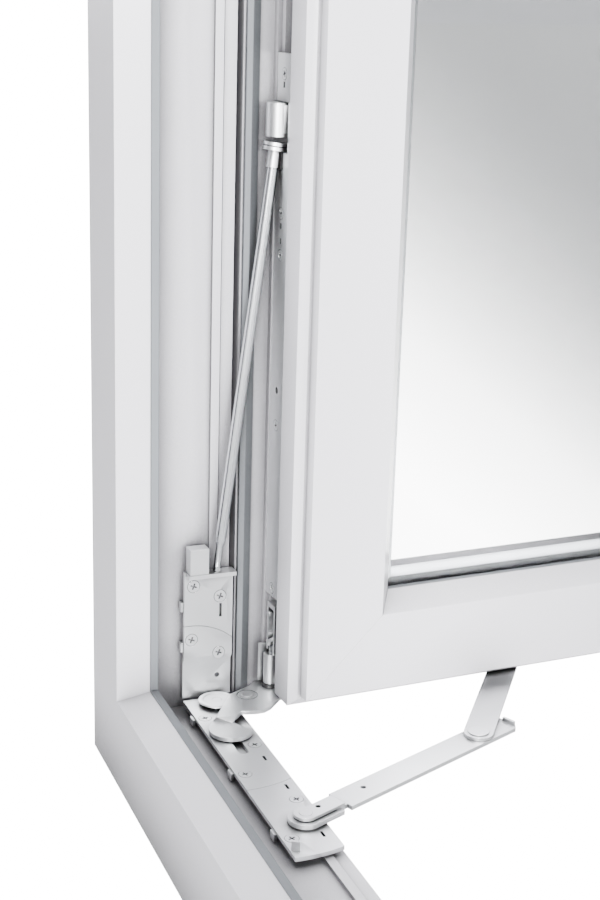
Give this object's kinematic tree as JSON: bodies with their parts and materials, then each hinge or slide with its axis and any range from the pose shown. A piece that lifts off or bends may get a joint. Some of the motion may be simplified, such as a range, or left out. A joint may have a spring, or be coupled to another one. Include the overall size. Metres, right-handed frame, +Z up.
{
  "type": "window sash with crank",
  "caption": "White plastic casement window with a concealed corner hinge, load rod, folding opening limiter and double glazed sash, shown fully open.",
  "frame": {"origin": "centre of the frame sill's underside", "axes": "+X along the sill from the hinge side to the lock side, +Y from outdoors to the room, +Z up"},
  "size_m": [0.7573, 0.7107, 0.9],
  "materials": {
    "white_profile": "smooth white window profile, soft sheen",
    "white_handle": "smooth white, soft sheen",
    "white_packer": "plain white packer",
    "grey_gasket": "matte grey sealing lip",
    "black_plastic": "matte black",
    "spacer_metal": "dull spacer bar",
    "pane_glass": "clear float glass",
    "zinc_steel": "zinc plated steel",
    "silver_hardware": "satin silver coated hardware",
    "bright_rod": "bright plated rod"
  },
  "bodies": {
    "frame": {"frame_sill": "white_profile", "frame_head": "white_profile", "frame_hinge_jamb": "white_profile", "frame_lock_jamb": "white_profile", "frame_steel": "zinc_steel", "frame_gasket": "grey_gasket", "jamb_plate_upper": "silver_hardware", "jamb_plate_lower": "silver_hardware", "sill_plate": "silver_hardware", "limiter_plate": "silver_hardware", "head_plate": "silver_hardware", "plate_packers": "white_packer", "frame_screws": "silver_hardware", "rod_socket": "silver_hardware", "link_pins": "silver_hardware", "limiter_post": "silver_hardware", "limiter_washer": "black_plastic", "strikers": "silver_hardware"},
    "link": {"hinge_link": "silver_hardware", "link_disc": "silver_hardware", "top_link": "silver_hardware"},
    "arm": {"hinge_arm": "silver_hardware", "arm_rivets": "silver_hardware", "top_arm": "silver_hardware", "pivot_pins": "zinc_steel", "pivot_washer": "black_plastic"},
    "slider": {"slot_slider": "silver_hardware"},
    "sash": {"sash_bottom_rail": "white_profile", "sash_top_rail": "white_profile", "sash_hinge_stile": "white_profile", "sash_lock_stile": "white_profile", "sash_steel": "zinc_steel", "glazing_beads": "white_profile", "outer_pane": "pane_glass", "inner_pane": "pane_glass", "pane_spacer": "spacer_metal", "glazing_gaskets": "grey_gasket", "sash_gasket": "grey_gasket", "setting_blocks": "black_plastic", "sash_strip": "silver_hardware", "sash_screws": "silver_hardware", "lower_bracket": "silver_hardware", "adjusting_screw": "zinc_steel", "lift_hook": "silver_hardware", "upper_bracket": "silver_hardware", "top_bracket": "silver_hardware", "limiter_shoe": "black_plastic", "lock_strip": "silver_hardware", "gear_case": "zinc_steel", "handle_rose": "white_handle"},
    "rod": {"load_rod": "bright_rod", "rod_sleeve": "silver_hardware"},
    "handle": {"handle_lever": "white_handle", "handle_spindle": "zinc_steel"},
    "lock_drive": {"lock_bar": "zinc_steel"},
    "limiter_long": {"limiter_bar": "silver_hardware", "limiter_fork": "silver_hardware", "elbow_rivet": "silver_hardware"},
    "limiter_short": {"limiter_arm": "silver_hardware"}
  },
  "joints": [
    {"name": "link_pivot", "type": "hinge", "parent": "frame", "child": "link", "pos_m": [-0.2969, 0.0257, 0.045], "axis": [0, 0, 1], "range_deg": [-86.9, 0]},
    {"name": "arm_pivot", "type": "hinge", "parent": "link", "child": "arm", "pos_m": [-0.2913, 0.0432, 0.046], "axis": [0, 0, 1], "range_deg": [0, 123.8]},
    {"name": "sash_hinge", "type": "hinge", "parent": "arm", "child": "sash", "pos_m": [-0.3, 0.061, 0.055], "axis": [0, 0, 1], "range_deg": [-129.3, 0]},
    {"name": "plate_slider", "type": "slide", "parent": "frame", "child": "slider", "axis": [1, 0, 0], "range_m": [0, 0.0203]},
    {"name": "rod_foot", "type": "hinge", "parent": "frame", "child": "rod", "pos_m": [-0.3037, 0.0266, 0.1285], "axis": [1, 0, 0], "range_deg": [0, 6]},
    {"name": "handle_turn", "type": "hinge", "parent": "sash", "child": "handle", "pos_m": [-0.3553, 0.63289, 0.45], "axis": [-0.9991, -0.0419, 0], "range_deg": [-90, 90]},
    {"name": "lock_slide", "type": "slide", "parent": "sash", "child": "lock_drive", "axis": [0, 0, 1], "range_m": [-0.0181, 0.0181]},
    {"name": "limiter_post_pivot", "type": "hinge", "parent": "frame", "child": "limiter_long", "pos_m": [-0.149, 0.025, 0.0455], "axis": [0, 0, 1], "range_deg": [-120.2, 0]},
    {"name": "limiter_elbow", "type": "hinge", "parent": "limiter_long", "child": "limiter_short", "pos_m": [-0.2038, 0.1548, 0.048], "axis": [0, 0, 1], "range_deg": [0, 151.9]}
  ],
  "couplings": [
    {"joint": "link_pivot", "follows": "sash_hinge", "ratio": 0.67053},
    {"joint": "arm_pivot", "follows": "sash_hinge", "ratio": -0.95592},
    {"joint": "plate_slider", "follows": "sash_hinge", "m_per_rad": -0.008951},
    {"joint": "rod_foot", "follows": "sash_hinge", "ratio": -0.04563},
    {"joint": "limiter_post_pivot", "follows": "sash_hinge", "ratio": 0.92784},
    {"joint": "limiter_elbow", "follows": "sash_hinge", "ratio": -1.173},
    {"joint": "lock_slide", "follows": "handle_turn", "m_per_rad": 0.011459}
  ]
}
